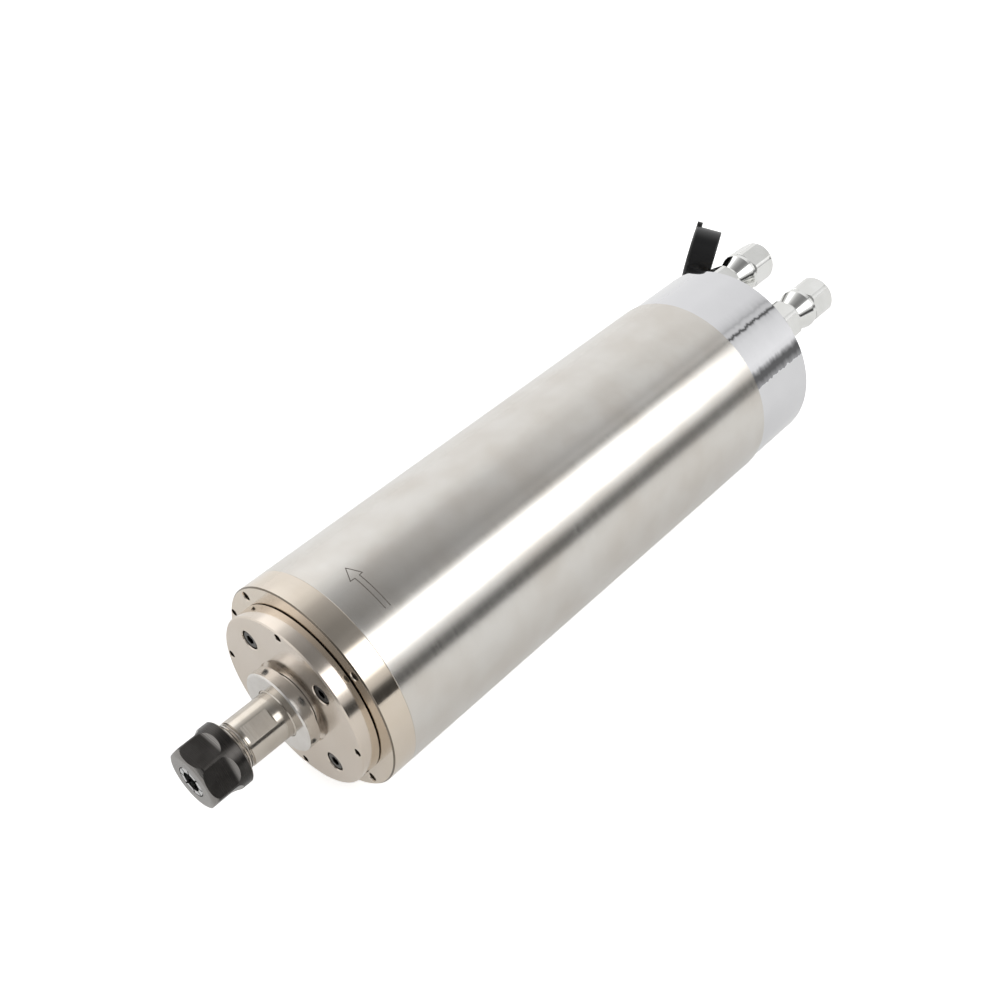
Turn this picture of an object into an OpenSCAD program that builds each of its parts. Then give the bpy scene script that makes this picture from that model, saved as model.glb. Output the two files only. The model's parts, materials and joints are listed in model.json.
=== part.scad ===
// Water-cooled motor spindle with a collet nose, lying along X with its nose towards -X.
// The origin is on the axis, halfway along the shell that a clamp grips; +Z is up.

/* [Body] */
// Outside diameter of the shell, the size that a clamp grips
body_d = 65; // [64:0.5:70]
// Length of the shell between its end faces
shell_l = 160; // [154:1:200]
// Thickness of the shell's tube
shell_wall = 4.1; // [3.9:0.1:4.5]
// Thickness of the front flange ring
flange_t = 7.8; // [7:0.2:10]
// Small bevel on the outer edges of the turned parts
bevel = 0.4; // [0.2:0.1:0.6]

/* [Front cover] */
// Width of the flange ring that shows round the cover
cover_margin = 5.2; // [4.8:0.1:5.6]
// Thickness of the front cover
cover_t = 6.2; // [5.6:0.2:8]
// Depth of the spigot that holds the bearings' outer rings
spigot_l = 2; // [1.5:0.1:3]
// Distance of the cover screws' middles from the cover's rim
cover_screw_inset = 7.3; // [6.8:0.1:7.5]
// Distance of the small tapped jack holes' middles from the cover's rim
jack_inset = 1.8; // [1.8:0.1:2]
// Diameter of each jack hole
jack_d = 2.3; // [2:0.1:2.4]
// Nominal diameter of the cover and rear cap screws
screw_d = 3; // [2.5:0.1:3]
// Nominal diameter of the flange screws
flange_screw_d = 2.5; // [2:0.1:2.6]

/* [Dust collar] */
// Outside diameter of the collar in front of the cover
collar_d = 25.2; // [24:0.2:27]
// Thickness of the collar's disc
collar_t = 3.7; // [3:0.1:5]
// Gap between the collar's disc and the cover
collar_gap = 1.5; // [1:0.1:2]
// Outside diameter of the collar's hub inside the cover
hub_d = 18; // [17.4:0.2:19]

/* [Nose] */
// Distance from the cover's face to the front of the collet nut
nose_l = 33.8; // [32:0.2:40]
// Diameter of the shaft's nose and its thread
nose_d = 14; // [13.6:0.1:14.4]
// Width across the shaft's two spanner flats
shaft_flats = 13; // [12:0.1:13.2]
// Length of the shaft's spanner flats
shaft_flats_l = 8.6; // [6:0.2:9]
// Distance from the cover's face to the start of the flats
shaft_flats_gap = 9; // [8:0.2:10]
// Angle of the shaft's flats about the axis
shaft_flats_turn = 122; // [0:1:180]

/* [Collet nut] */
// Length of the nut
nut_l = 12.6; // [12.4:0.1:13]
// Diameter of the nut's round skirt
nut_d = 19.2; // [18.8:0.1:19.6]
// Width across the nut's flats
nut_af = 17; // [16.6:0.1:17.4]
// Length of the flats, from the nut's front face
nut_flat_l = 6.8; // [6:0.1:7]
// Radius of the cutter that ran out at the end of each flat
nut_cutter_r = 3.5; // [2.5:0.1:4]
// Radius of the rounded front edge
nut_round = 2.2; // [1.5:0.1:2.4]
// Diameter of the opening in the nut's front face
nut_mouth_d = 9.3; // [9:0.1:9.5]

/* [Collet] */
// Length of the collet
collet_l = 18; // [17.6:0.1:18.4]
// Largest diameter of the collet
collet_d = 11.5; // [11.3:0.1:11.6]
// Bore of the collet, the shank size that it grips
collet_bore = 6; // [5:0.1:6]
// Number of slots cut from each end
collet_slots = 8; // [4:1:8]
// Width of each slot
collet_slot_w = 0.5; // [0.3:0.1:0.6]

/* [Motor] */
// Length of the laminated stator and rotor cores
core_l = 70; // [60:1:72]
// Bore of the stator core
stator_bore = 25.4; // [25:0.1:26]
// Number of stator slots
stator_slots = 18; // [12:3:18]
// Number of bars in the rotor's cage
rotor_bars = 22; // [14:1:22]
// Thickness of the stator's iron outside the slots
stator_yoke = 4.5; // [4:0.1:5]
// How far the windings reach past each end of the core
end_turn_l = 12; // [9:0.5:12]

/* [Bearings] */
// Bore of each front bearing
front_bore = 15; // [15:0.1:15.4]
// Outside diameter of each front bearing
front_od = 32; // [31.6:0.1:32.4]
// Width of each front bearing
front_w = 9; // [8.6:0.1:9.4]
// Bore of the rear bearing
rear_bore = 12; // [11.6:0.1:12.2]
// Outside diameter of the rear bearing
rear_od = 28; // [27.6:0.1:28.4]
// Width of the rear bearing
rear_w = 8; // [7.6:0.1:8.4]
// Diameter of the balls
ball_d = 4.76; // [4.4:0.1:4.8]

/* [Cooling sleeve] */
// Wall of the sleeve between the shell and the stator
sleeve_wall = 3.4; // [3.2:0.1:3.8]
// Depth of the water channels in the sleeve
channel_depth = 2.1; // [1.4:0.1:2.2]
// Number of long channels
channels = 12; // [8:2:14]
// Width of each long channel
channel_w = 7; // [5:0.5:8]
// Diameter of the water ports
port_d = 5; // [4:0.2:5]

/* [Rear cap] */
// Length of the rear cap
cap_l = 26; // [25:0.5:34]
// How much the cap's radius is smaller than the shell's
cap_step = 0.5; // [0.2:0.1:0.7]
// Thickness of the cap's side wall
cap_wall = 4; // [3.5:0.1:4.5]
// Thickness of the cap's rear wall
cap_floor = 4; // [4:0.1:5]
// Distance of the cap screws' middles from the shell's bore
cap_screw_inset = 2.4; // [2.2:0.1:2.6]

/* [Hose fittings] */
// Distance of each hose fitting's axis from the shell's bore
fitting_inset = 5.2; // [5:0.1:5.6]
// Angle between the two fittings, seen along the axis
fitting_spread = 64; // [56:1:70]
// Width across the hexagons of the fittings
fitting_af = 13; // [12.6:0.1:13.2]
// Length of the fitting's hexagon next to the cap
fitting_hex_l = 7.2; // [6:0.1:8]
// Distance from the cap to the front of the clamping nut
fitting_body_l = 17; // [16.6:0.1:19]
// Length of the clamping nut
fitting_nut_l = 11; // [10.6:0.1:12]
// Outside diameter of the hose
hose_d = 6; // [5.8:0.1:6.2]
// Diameter of the nipple that the hose is pushed over
nipple_d = 4.2; // [4:0.1:4.4]

/* [Power socket] */
// Distance of the socket from the spindle's axis
socket_r = 8.5; // [7:0.5:9]
// Diameter of the socket's threaded barrel
socket_d = 16; // [15.6:0.1:16.4]
// How far the barrel stands out past its nut
socket_reach = 6.5; // [6:0.1:8]
// Diameter of each contact pin
pin_d = 2; // [1.6:0.1:2.2]

/* [Dust cap] */
// Outside diameter of the rubber cap
dust_cap_d = 19; // [18.8:0.1:19.4]
// Length of the rubber cap
dust_cap_l = 9; // [8.6:0.1:10.4]
// Distance from the socket's axis to the fold of the strap
fold_reach = 18.6; // [18.4:0.1:19]
// Width of the strap
strap_w = 4.4; // [4:0.1:5]
// Angle that the cap stands open, from closed
open_angle = 133.5; // [130:0.5:136]

/* [Hidden] */
$fn = 96;

// Clearances: parts that are pressed or spigoted, parts that turn, balls in their tracks
fit = 0.02;
running = 0.3;
ball_gap = 0.1;
thread_gap = 0.05;

// Stations along the axis
x_shell0 = -shell_l / 2;
x_shell1 = shell_l / 2;
x_flange = x_shell0 - flange_t;
x_cover = x_flange - cover_t;
x_bearing0 = x_flange + spigot_l;
x_bearing1 = x_bearing0 + 2 * front_w;
x_collar1 = x_cover - collar_gap;
x_collar0 = x_collar1 - collar_t;
x_nut0 = x_cover - nose_l;
x_nut1 = x_nut0 + nut_l;
x_core0 = -core_l / 2;
x_core1 = core_l / 2;
x_cap1 = x_shell1 + cap_l;

// Radii from the outside in
shell_r = body_d / 2;
bore_r = shell_r - shell_wall;
sleeve_r = bore_r - fit;
stator_r = bore_r - sleeve_wall;
groove_r = bore_r - channel_depth;
slot_bottom_r = stator_r - stator_yoke;
cap_r = shell_r - cap_step;

// Screws: head and socket sizes follow the nominal diameter
head_r = screw_d * 0.917;
head_h = screw_d;
counterbore_r = head_r + 0.25;
cover_head_depth = head_h + 0.3;
flange_screw_r = bore_r + flange_screw_d / 2 + 0.35;
cover_r = shell_r - cover_margin;
cover_screw_r = cover_r - cover_screw_inset;
jack_r = cover_r - jack_inset;
cap_screw_r = bore_r - cap_screw_inset;
hole_edge = 0.25;
face_relief = 0.5;
rim_hole_r = 1.1;
rim_hole_turn = 17;
cover_screw_turn = 45;
cap_screw_turn = 10;

// Collet: gauge cone of 8 degrees each side, front cone of 30 degrees
taper = tan(8);
front_cone = tan(30);
collet_r = collet_d / 2;
collet_land_r = collet_r - 0.2;
collet_face_r = collet_land_r - 2.08 * front_cone;
collet_groove0 = x_nut0 + 2.6;
collet_groove1 = collet_groove0 + 1.6;
collet_groove_r = collet_r - 0.85;
collet_cone0 = collet_groove1 + 0.4;
x_collet1 = x_nut0 + collet_l;
x_shaft0 = collet_cone0 + 0.6;
nose_thread_depth = 0.45;
x_thread0 = x_shaft0 + 0.6;
x_thread1 = x_nut1 + 2.8;

// Front housing
shoulder_r = front_od / 2 - 2.5;
sleeve_space = 2;
front_sleeve_r = stator_r - sleeve_space;
housing_wall = 2.8;
spigot_len = 4;

// Rotor and shaft steps
rotor_r = stator_bore / 2 - 0.4;
rotor_seat_r = 8.5;
shaft_collar_r = 9.5;
cage_ring_l = 5;
mid_r = 7;

// Rear bearing, its housing and the spring that loads it
spring_l = 1.5;
rear_wall = 2;
lock_nut_w = 5;
shaft_tail = 1.5;
rear_cover_t = 1.5;
hub_r = rear_od / 2 + 3.5;
rear_flange_t = 6;
x_rear_bearing1 = x_shell1 - rear_cover_t - shaft_tail - lock_nut_w - 0.5;
x_rear_bearing0 = x_rear_bearing1 - rear_w;
x_hub0 = x_rear_bearing0 - spring_l - rear_wall;
x_sleeve0 = x_shell0 + spigot_len + 2;
x_sleeve1 = x_shell1 - rear_flange_t;
x_sleeve_flange = x_hub0 - 2;

// Channels and seals of the cooling sleeve
seal_r = 0.65;
seal_groove = 1.3;
seal_inset = 2.2;
ring_channel_w = 6;
x_front_channel = x_sleeve0 + 4.2;
x_rear_channel = x_sleeve1 - 14;
dam_turn = 100;
dam_w = 5;

// Hose fittings and their ports
fitting_r = bore_r - fitting_inset;
fitting_turns = [dam_turn - fitting_spread / 2, dam_turn + fitting_spread / 2];
fitting_hex_turns = [-15, 23];
boss_r = 7.5;
port_thread_r = 4.85;
port_thread_l = 10;
washer_t = 0.8;
corner_r = fitting_af * 0.55;
waist_r = port_thread_r + 0.1;
body_thread_r = 5;
body_thread_l = 7;
body_thread_depth = 0.5;
x_waist0 = x_cap1 + washer_t + fitting_hex_l;
x_fitting_nut0 = x_cap1 + fitting_body_l + 0.2;
x_fitting_nut1 = x_fitting_nut0 + fitting_nut_l;
x_body_end = x_fitting_nut0 + body_thread_l - 0.3;
nipple_l = 3.5;
o_ring_r = 3.9;
o_section = 0.68;

// Wires from the windings to the socket
wire_r = 0.95;
wire_bend_r = wire_r + 0.15;
wire_hole_r = wire_r + 0.25;
wire_at = hub_r + 2.3;
wire_turns = [-68.5, -60, -51.5];
wire_pins = [-135, -45, 45];

// Power socket
socket_turn = -45;
socket_nut_t = 2.5;
ring_t = 1.5;
x_socket_nut0 = x_cap1 + ring_t;
x_barrel1 = x_socket_nut0 + socket_nut_t + socket_reach;
insert_r = socket_d / 2 - 1.15;
pin_circle_r = 3.1;
socket_thread_depth = 0.5;
socket_core_r = socket_d / 2 - socket_thread_depth - fit;
pin_tail = 13;
x_pins0 = x_cap1 - pin_tail;
x_socket_nut1 = x_socket_nut0 + socket_nut_t;

// Dust cap and the fold of its strap
fold_turn = 53;
fold_tilt = 23;
fold_height = 4.8;
fold_r = 0.9;
strap_t = 1.2;
strap_post = 3.2;
x_ring0 = x_cap1 + thread_gap;
cap_inner_r = socket_d / 2 + 0.3;
x_dust0 = x_socket_nut1 + 0.4;
x_dust1 = x_dust0 + dust_cap_l;
cap_end_t = 1.6;
fold_at = [x_cap1 + fold_height, fold_reach * cos(fold_turn), fold_reach * sin(fold_turn)];
fold_axis = [-sin(fold_tilt), cos(fold_tilt) * cos(fold_turn + 90), cos(fold_tilt) * sin(fold_turn + 90)];

// Small bevel where a hole meets a face that looks towards -X
module broken_edge(x, r) {
    translate([x - hole_edge, 0, 0]) rotate([0, 90, 0])
        cylinder(h = 2 * hole_edge, r1 = r + 2 * hole_edge, r2 = r);
}

// Solid of revolution about the spindle's axis from [radius, x] points
module turned(points) {
    rotate([0, 90, 0]) rotate_extrude() polygon(points);
}

// Round bar along the axis
module bar(x0, x1, r) {
    translate([x0, 0, 0]) rotate([0, 90, 0]) cylinder(h = x1 - x0, r = r);
}

// Tube along the axis
module tube(x0, x1, outer, inner) {
    difference() {
        bar(x0, x1, outer);
        bar(x0 - 1, x1 + 1, inner);
    }
}

// Hexagonal bar along the axis, with a flat facing +Y before it is turned
module hex_bar(x0, x1, across, turn = 0) {
    translate([x0, 0, 0]) rotate([turn, 0, 0]) rotate([0, 90, 0])
        cylinder(h = x1 - x0, r = across / sqrt(3), $fn = 6);
}

// Child repeated evenly round the axis at a radius
module around(count, radius, first = 0) {
    for (i = [0 : count - 1])
        rotate([first + 360 * i / count, 0, 0]) translate([0, radius, 0]) children();
}

// Child placed on a hose fitting's axis
module at_fitting(side) {
    rotate([fitting_turns[side], 0, 0]) translate([0, fitting_r, 0]) children();
}

// Child placed on the power socket's axis
module at_socket() {
    rotate([socket_turn, 0, 0]) translate([0, socket_r, 0]) rotate([-socket_turn, 0, 0]) children();
}

// Ring of round section, such as an O-ring, about the axis
module o_ring(x, radius, section) {
    translate([x, 0, 0]) rotate([0, 90, 0]) rotate_extrude() translate([radius, 0]) circle(r = section, $fn = 32);
}

// Socket head cap screw whose head faces the given end of the axis
module cap_screw(x_head, x_tip, d, toward = -1) {
    x_under = x_head - toward * d;
    difference() {
        union() {
            bar(min(x_head, x_under), max(x_head, x_under), d * 0.917);
            bar(min(x_under, x_tip), max(x_under, x_tip), d / 2);
        }
        hex_bar(x_head - (toward < 0 ? 1 : d * 0.5), x_head + (toward < 0 ? d * 0.5 : 1), d * 0.83);
    }
}

// Outer ring of a ball bearing with its track
module outer_ring(x0, width, od, pitch_r) {
    difference() {
        tube(x0, x0 + width, od / 2 - fit, pitch_r + ball_d * 0.225);
        o_ring(x0 + width / 2, pitch_r, ball_d / 2 + ball_gap);
    }
}

// Inner ring of a ball bearing with its track
module inner_ring(x0, width, bore, pitch_r) {
    difference() {
        tube(x0, x0 + width, pitch_r - ball_d * 0.225, bore / 2 + fit);
        o_ring(x0 + width / 2, pitch_r, ball_d / 2 + ball_gap);
    }
}

// Ball cage with a round pocket for each ball
module ball_cage(x, count, pitch_r) {
    difference() {
        tube(x - ball_d * 0.66, x + ball_d * 0.66, pitch_r + 0.75, pitch_r - 0.75);
        around(count, pitch_r) translate([x, 0, 0]) rotate([-90, 0, 0])
            cylinder(h = 4, r = ball_d / 2 + 0.12, center = true);
    }
}

// Balls of one bearing
module ball_set(x, count, pitch_r) {
    around(count, pitch_r) translate([x, 0, 0]) sphere(d = ball_d);
}

front_pitch_r = (front_od + front_bore) / 4;
rear_pitch_r = (rear_od + rear_bore) / 4;
front_ball_count = floor(2 * PI * front_pitch_r / ball_d * 0.74);
rear_ball_count = floor(2 * PI * rear_pitch_r / ball_d * 0.74);

module front_cover() {
    color("#cfc7bc") difference() {
        turned([
            [hub_d / 2 + running, x_cover + face_relief], [collar_d / 2 + running, x_cover + face_relief],
            [collar_d / 2 + running, x_cover], [cover_r - bevel, x_cover], [cover_r, x_cover + bevel],
            [cover_r, x_flange - bevel], [cover_r - bevel, x_flange], [front_od / 2 - fit, x_flange],
            [front_od / 2 - fit, x_bearing0], [shoulder_r, x_bearing0], [shoulder_r, x_flange],
            [hub_d / 2 + running, x_flange]
        ]);
        around(4, cover_screw_r, cover_screw_turn) {
            bar(x_cover - 1, x_flange + 1, screw_d / 2 + 0.2);
            bar(x_cover - 1, x_cover + cover_head_depth, counterbore_r);
            broken_edge(x_cover, counterbore_r);
        }
        around(4, jack_r) {
            bar(x_cover - 1, x_flange + 1, jack_d / 2);
            broken_edge(x_cover, jack_d / 2 - 0.1);
        }
    }
}

module front_cover_screws() {
    color("#3c3a38") around(4, cover_screw_r, cover_screw_turn)
        cap_screw(x_cover + cover_head_depth - head_h, x_shell0 + spigot_len, screw_d);
}

module front_housing() {
    color("#bdb3a4") difference() {
        turned([
            [front_od / 2, x_flange], [shell_r - bevel, x_flange], [shell_r, x_flange + bevel],
            [shell_r, x_shell0], [sleeve_r, x_shell0], [sleeve_r, x_shell0 + spigot_len],
            [front_sleeve_r, x_shell0 + spigot_len], [front_sleeve_r, x_bearing1 + housing_wall],
            [shoulder_r, x_bearing1 + housing_wall], [shoulder_r, x_bearing1], [front_od / 2, x_bearing1]
        ]);
        around(4, cover_screw_r, cover_screw_turn)
            bar(x_flange - 1, x_shell0 + spigot_len + 1, screw_d / 2 + fit);
        around(4, flange_screw_r, cover_screw_turn) {
            bar(x_flange - 1, x_shell0 + 1, flange_screw_d / 2 + 0.1);
            broken_edge(x_flange, flange_screw_d / 2 + 0.1);
        }
        around(1, shell_r - rim_hole_r - 0.5, rim_hole_turn) bar(x_flange - 1, x_flange + 3, rim_hole_r);
    }
}

module flange_screws() {
    color("#3c3a38") around(4, flange_screw_r, cover_screw_turn) difference() {
        bar(x_flange + 1, x_shell0 + 7, flange_screw_d / 2);
        hex_bar(x_flange, x_flange + 2.5, flange_screw_d * 0.52);
    }
}

module shell() {
    color("#c9c6c1") difference() {
        turned([
            [bore_r, x_shell0], [shell_r - bevel / 2, x_shell0], [shell_r, x_shell0 + bevel / 2],
            [shell_r, x_shell1 - bevel], [shell_r - bevel, x_shell1], [bore_r, x_shell1]
        ]);
        around(4, flange_screw_r, cover_screw_turn)
            bar(x_shell0 - 1, x_shell0 + 8, flange_screw_d / 2 + fit);
    }
}

// Holes that the motor's wires pass through
module wire_holes(x0, x1) {
    for (turn = wire_turns)
        rotate([turn, 0, 0]) translate([0, wire_at, 0]) bar(x0, x1, wire_hole_r);
}

// Half of the rear ring channel reaches each port, with a dam on both sides between them
module rear_channel() {
    difference() {
        tube(x_rear_channel, x_rear_channel + ring_channel_w, shell_r, groove_r);
        for (turn = [dam_turn, dam_turn + 180])
            rotate([turn, 0, 0]) translate([x_rear_channel - 1, 0, -dam_w / 2])
                cube([ring_channel_w + 2, shell_r + 1, dam_w]);
    }
}

module cooling_sleeve() {
    color("#a9abad") difference() {
        turned([
            [stator_r, x_sleeve0], [sleeve_r, x_sleeve0], [sleeve_r, x_sleeve1],
            [hub_r + 0.5, x_sleeve1], [hub_r + 0.5, x_sleeve_flange], [stator_r, x_sleeve_flange]
        ]);
        tube(x_front_channel, x_front_channel + ring_channel_w, shell_r, groove_r);
        rear_channel();
        around(channels, groove_r, dam_turn + 180 / channels)
            translate([x_front_channel + 1, 0, -channel_w / 2])
                cube([x_rear_channel - x_front_channel, shell_wall + channel_depth, channel_w]);
        for (x = [x_sleeve0 + seal_inset, x_sleeve1 - seal_inset])
            tube(x - seal_r - 0.15, x + seal_r + 0.15, shell_r, sleeve_r - seal_groove);
        for (side = [0, 1]) {
            at_fitting(side) bar(x_rear_channel, x_sleeve1 + 1, port_d / 2);
            rotate([fitting_turns[side], 0, 0]) translate([x_rear_channel + ring_channel_w / 2, fitting_r, 0])
                rotate([-90, 0, 0]) cylinder(h = shell_r - fitting_r, d = 0.9 * port_d);
        }
        wire_holes(x_sleeve_flange - 1, x_sleeve1 + 1);
    }
}

module sleeve_seals() {
    color("#222222") for (x = [x_sleeve0 + seal_inset, x_sleeve1 - seal_inset])
        o_ring(x, sleeve_r - seal_r, seal_r - fit);
}

module port_seals() {
    color("#222222") for (side = [0, 1], x = [x_sleeve1, x_shell1])
        at_fitting(side) o_ring(x + o_section, o_ring_r, o_section - fit);
}

module slot_profile(inset) {
    half_open = 0.9 - inset;
    throat = stator_bore / 2 + 1.1 + inset;
    depth = slot_bottom_r - inset;
    w0 = PI * throat / stator_slots - 1 - inset;
    w1 = PI * depth / stator_slots - 1.3 - inset;
    polygon([[throat, -w0], [depth, -w1], [depth, w1], [throat, w0]]);
    if (inset == 0)
        translate([stator_bore / 2 - 1, -half_open]) square([3, 2 * half_open]);
}

module stator_core() {
    color("#6d6f72") translate([x_core0, 0, 0]) rotate([0, 90, 0]) linear_extrude(core_l) difference() {
        circle(r = stator_r - fit);
        circle(d = stator_bore);
        for (i = [0 : stator_slots - 1]) rotate(360 * i / stator_slots) slot_profile(0);
    }
}

module stator_windings() {
    inner = stator_bore / 2 + 1.6;
    outer = slot_bottom_r + 0.1;
    soft = 1.6;
    color("#b4622d") {
        translate([x_core0 - 0.5, 0, 0]) rotate([0, 90, 0]) linear_extrude(core_l + 1)
            for (i = [0 : stator_slots - 1]) rotate(360 * i / stator_slots) slot_profile(0.2);
        for (side = [-1, 1])
            turned([
                [inner, side * (x_core1 + 0.3)], [outer, side * (x_core1 + 0.3)],
                [outer, side * (x_core1 + end_turn_l - soft)], [outer - soft, side * (x_core1 + end_turn_l)],
                [inner + soft, side * (x_core1 + end_turn_l)], [inner, side * (x_core1 + end_turn_l - soft)]
            ]);
    }
}

module rear_housing() {
    color("#b9bbbd") difference() {
        turned([
            [rear_bore / 2 + 3, x_hub0], [hub_r, x_hub0], [hub_r, x_sleeve1], [sleeve_r, x_sleeve1],
            [sleeve_r, x_shell1], [rear_od / 2, x_shell1], [rear_od / 2, x_hub0 + rear_wall],
            [rear_bore / 2 + 3, x_hub0 + rear_wall]
        ]);
        for (side = [0, 1]) at_fitting(side) {
            bar(x_sleeve1 - 1, x_shell1 + 1, port_d / 2);
            tube(x_sleeve1 - 1, x_sleeve1 + 2 * o_section, o_ring_r + o_section + fit, o_ring_r - o_section - fit);
        }
        wire_holes(x_sleeve1 - 1, x_shell1 + 1);
        around(4, cap_screw_r, cap_screw_turn) bar(x_sleeve1 + 0.8, x_shell1 + 1, screw_d / 2 + fit);
    }
}

module rear_bearing_cover() {
    color("#8f9295") bar(x_shell1 - rear_cover_t, x_shell1, rear_od / 2 - fit);
}

// Wavy washer between the housing's wall and the bearing's outer ring
module preload_spring() {
    steps = 48;
    waves = 3;
    inner = rear_od / 2 - 3;
    outer = rear_od / 2 - 0.3;
    thick = 0.4;
    lift = (spring_l - thick) / 2 - fit;
    middle = x_rear_bearing0 - spring_l / 2;
    function corner(i, r, side) = let (a = 360 * i / steps)
        [middle + lift * sin(waves * a) + side * thick / 2, r * cos(a), r * sin(a)];
    points = [for (i = [0 : steps - 1]) each [
        corner(i, inner, -1), corner(i, outer, -1), corner(i, outer, 1), corner(i, inner, 1)]];
    faces = [for (i = [0 : steps - 1], k = [0 : 3]) let (j = (i + 1) % steps, n = (k + 1) % 4) each [
        [4 * i + k, 4 * i + n, 4 * j + n], [4 * i + k, 4 * j + n, 4 * j + k]]];
    color("#70757a") polyhedron(points, faces);
}

module front_outer_rings() {
    color("#d8dadc") for (i = [0, 1])
        outer_ring(x_bearing0 + i * front_w, front_w - fit, front_od, front_pitch_r);
}

module rear_outer_ring() {
    color("#d8dadc") outer_ring(x_rear_bearing0, rear_w, rear_od, rear_pitch_r);
}

module rear_cap() {
    color("#c4c6c9") difference() {
        union() {
            difference() {
                turned([
                    [0, x_shell1], [cap_r, x_shell1], [cap_r, x_cap1 - 2 * bevel],
                    [cap_r - 2 * bevel, x_cap1], [0, x_cap1]
                ]);
                bar(x_shell1 - 1, x_cap1 - cap_floor, cap_r - cap_wall);
            }
            for (side = [0, 1]) at_fitting(side) bar(x_shell1, x_cap1 - cap_floor / 2, boss_r);
            around(4, cap_screw_r, cap_screw_turn) bar(x_shell1, x_cap1 - cap_floor / 2, screw_d + 0.6);
        }
        for (side = [0, 1]) at_fitting(side) {
            bar(x_shell1 - 1, x_cap1, port_d / 2);
            bar(x_cap1 - port_thread_l - 1, x_cap1 + 1, port_thread_r + thread_gap);
            tube(x_shell1 - 1, x_shell1 + 2 * o_section, o_ring_r + o_section + fit, o_ring_r - o_section - fit);
        }
        around(4, cap_screw_r, cap_screw_turn) {
            bar(x_shell1 - 1, x_cap1 + 1, screw_d / 2 + 0.15);
            bar(x_cap1 - head_h - 0.2, x_cap1 + 1, counterbore_r);
        }
        at_socket() bar(x_cap1 - cap_floor - 1, x_cap1 + 1, socket_d / 2 + thread_gap);
    }
}

module rear_cap_screws() {
    color("#3c3a38") around(4, cap_screw_r, cap_screw_turn)
        cap_screw(x_cap1 - 0.2, x_shell1 - rear_flange_t + 1.5, screw_d, 1);
}

module socket_shell() {
    x_wall = x_cap1 - cap_floor;
    color("#c9cbcd") at_socket() difference() {
        turned([
            [insert_r, x_wall - 6], [socket_d / 2 - 0.4, x_wall - 6], [socket_d / 2 - 0.4, x_wall - 2],
            [socket_d / 2 + 1.5, x_wall - 2], [socket_d / 2 + 1.5, x_wall], [socket_d / 2, x_wall],
            [socket_d / 2, x_socket_nut0], [socket_core_r, x_socket_nut0],
            [socket_core_r, x_barrel1], [insert_r, x_barrel1]
        ]);
        translate([x_barrel1 - 3, 0, insert_r - 0.5]) rotate([0, 90, 0]) cylinder(h = 4, r = 0.9);
    }
}

module socket_thread() {
    r = socket_d / 2;
    color("#c9cbcd") at_socket() turned([
        [r - socket_thread_depth, x_socket_nut1 + running], [r, x_socket_nut1 + running],
        [r, x_barrel1 - bevel], [r - bevel, x_barrel1], [r - socket_thread_depth, x_barrel1]
    ]);
}

module socket_nut() {
    color("#c9cbcd") at_socket() difference() {
        hex_bar(x_socket_nut0, x_socket_nut1, socket_d + 2);
        bar(x_socket_nut0 - 1, x_socket_nut1 + 1, socket_core_r + thread_gap);
    }
}

module socket_insert() {
    color("#2b2b2c") at_socket() difference() {
        bar(x_cap1 - cap_floor - 6, x_barrel1 - 6, insert_r - fit);
        around(4, pin_circle_r, 45) bar(x_pins0, x_barrel1, pin_d / 2 + fit);
    }
}

module socket_pins() {
    x_tip = x_barrel1 - 2.5 - pin_d / 2;
    color("#c8a24a") at_socket() around(4, pin_circle_r, 45) {
        bar(x_pins0, x_tip, pin_d / 2);
        translate([x_tip, 0, 0]) sphere(d = pin_d);
    }
}

// Each wire leaves the end turns along the axis, then slants to its contact pin
module lead_wires() {
    centre = [socket_r * cos(socket_turn), socket_r * sin(socket_turn)];
    x_bend = x_shell1 + 3;
    color("#a33327") for (i = [0 : 2]) {
        y = wire_at * cos(wire_turns[i]);
        z = wire_at * sin(wire_turns[i]);
        run = [x_pins0 - wire_r - x_bend, centre.x + pin_circle_r * cos(wire_pins[i]) - y,
            centre.y + pin_circle_r * sin(wire_pins[i]) - z];
        translate([0, y, z]) bar(x_core1 + end_turn_l + fit, x_bend, wire_r);
        translate([x_bend, y, z]) {
            sphere(r = wire_bend_r, $fn = 32);
            rotate([0, acos(run.z / norm(run)), atan2(run.y, run.x)])
                cylinder(h = norm(run), r = wire_r, $fn = 32);
        }
    }
}

module dust_cap_ring() {
    ring_r = socket_d / 2 + 2.2;
    color("#1d1d1f") at_socket() difference() {
        union() {
            bar(x_ring0, x_socket_nut0 - thread_gap, ring_r);
            rotate([fold_turn, 0, 0]) {
                translate([x_ring0, 0, -strap_w / 2]) cube([strap_t, fold_reach, strap_w]);
                translate([0, fold_reach, 0]) bar(x_ring0, x_ring0 + strap_t, strap_w / 2);
                translate([x_ring0, fold_reach - strap_post / 2, -strap_w / 2])
                    cube([fold_height - 1, strap_post, strap_w]);
            }
        }
        bar(x_cap1 - 1, x_cap1 + ring_t + 1, socket_d / 2 + thread_gap);
        fold(fold_r + 2 * running, strap_w + 4);
    }
}

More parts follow.
